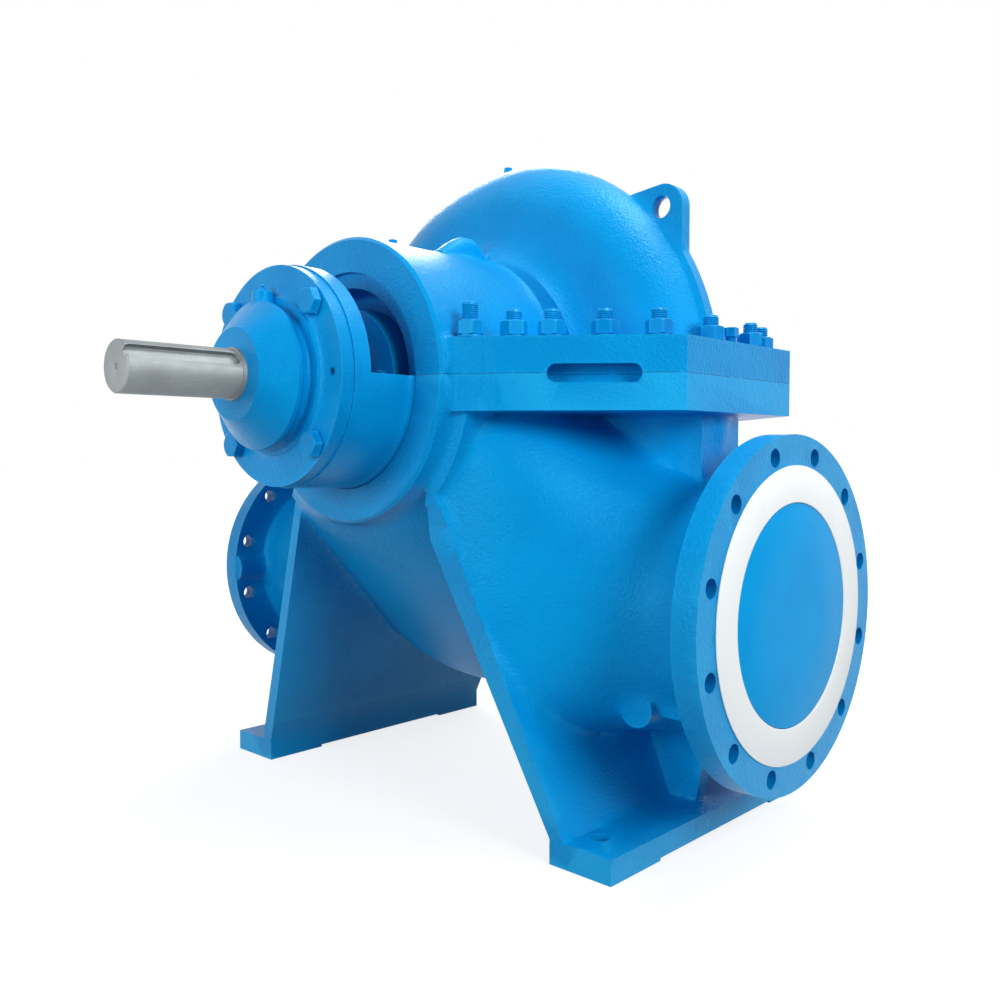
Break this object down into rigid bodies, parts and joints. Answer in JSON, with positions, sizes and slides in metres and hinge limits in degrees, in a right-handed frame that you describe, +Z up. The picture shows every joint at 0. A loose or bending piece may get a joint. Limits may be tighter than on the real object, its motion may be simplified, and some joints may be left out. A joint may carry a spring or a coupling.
{
  "type": "horizontally split double-suction centrifugal pump",
  "caption": "Blue split-case centrifugal pump on cast legs, with blanked pipe flanges on both sides, a bearing housing at each end and a bare keyed shaft end.",
  "frame": {"origin": "on the floor, below the shaft axis and midway between the bearing ends", "axes": "+X along the pipe line towards the suction flange, -Y along the shaft towards the coupling end, +Z up"},
  "size_m": [0.9796, 1.1027, 0.9332],
  "materials": {
    "paint": "bright blue enamel over a cast surface",
    "cover_paint": "smooth bright blue enamel",
    "machined_face": "flat white",
    "steel": "satin turned steel"
  },
  "bodies": {
    "casing": {"lower_casing": "paint", "upper_casing": "paint", "suction_face_ring": "machined_face", "suction_blank_disc": "cover_paint", "discharge_face_ring": "machined_face", "discharge_blank_disc": "cover_paint", "drive_bearing_housing": "paint", "rear_bearing_housing": "paint", "drive_bearing_cover": "paint", "rear_bearing_cover": "paint", "drive_cover_bolts": "paint", "rear_cover_bolts": "paint", "drive_grease_nipple": "paint", "rear_grease_nipple": "paint", "drive_gland": "paint", "rear_gland": "paint", "drive_gland_nuts": "paint", "rear_gland_nuts": "paint", "suction_front_studs": "paint", "suction_rear_studs": "paint", "suction_side_studs": "paint", "discharge_front_studs": "paint", "discharge_rear_studs": "paint", "discharge_side_studs": "paint", "suction_jack_screw": "paint", "discharge_jack_screw": "paint", "casing_vent_plug": "paint", "drive_barrel_plug": "paint", "rear_barrel_plug": "paint"},
    "rotor": {"shaft": "steel"}
  },
  "joints": [
    {"name": "shaft_spin", "type": "hinge", "parent": "casing", "child": "rotor", "pos_m": [0, 0, 0.5896], "axis": [0, 1, 0], "continuous": true}
  ]
}
